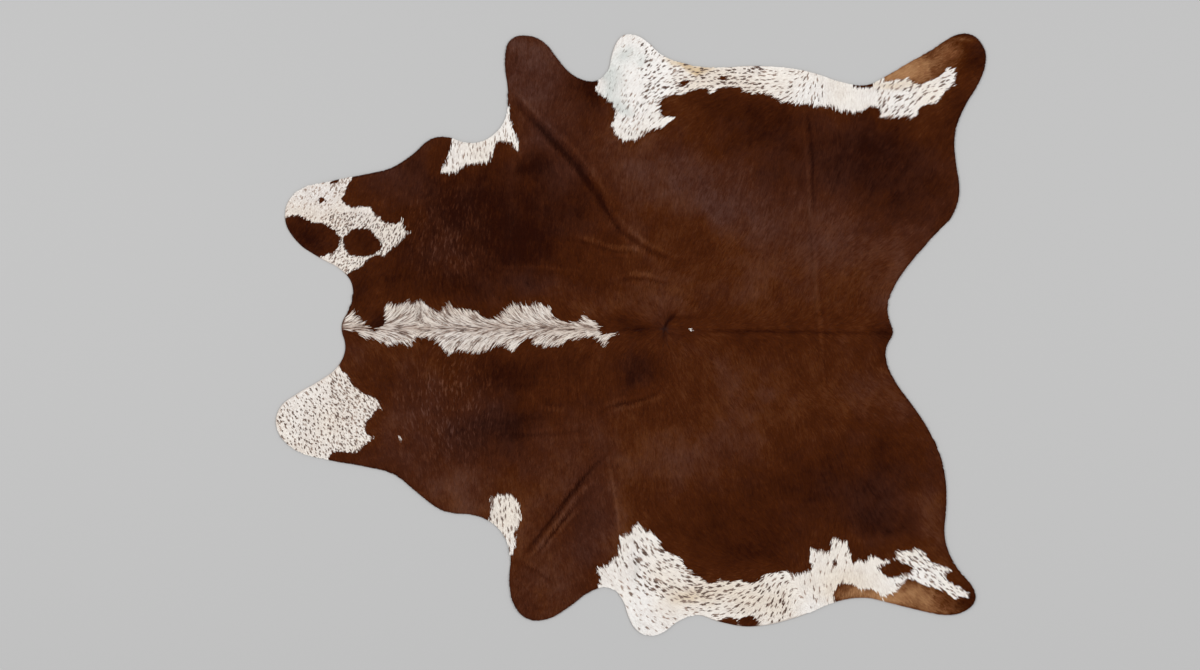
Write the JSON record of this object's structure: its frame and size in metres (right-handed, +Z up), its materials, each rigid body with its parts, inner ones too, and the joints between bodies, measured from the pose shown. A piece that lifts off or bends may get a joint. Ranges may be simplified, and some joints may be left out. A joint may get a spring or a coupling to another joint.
{
  "type": "cowhide rug",
  "caption": "Whole cowhide rug with the hair on, lying flat in its natural outline of neck, legs, belly and rump, brown with white belly and spine markings.",
  "frame": {"origin": "middle of the outline's box, on the surface that the rug lies on", "axes": "+X along the spine from the neck to the tail, +Y across the hide, +Z up out of the hair side"},
  "size_m": [2.1282, 1.803, 0.011],
  "materials": {
    "brown_coat": "short lying hair, satin",
    "white_coat": "short lying hair, satin",
    "leather": "suede"
  },
  "bodies": {
    "root": {"hide": "brown_coat"}
  },
  "joints": []
}
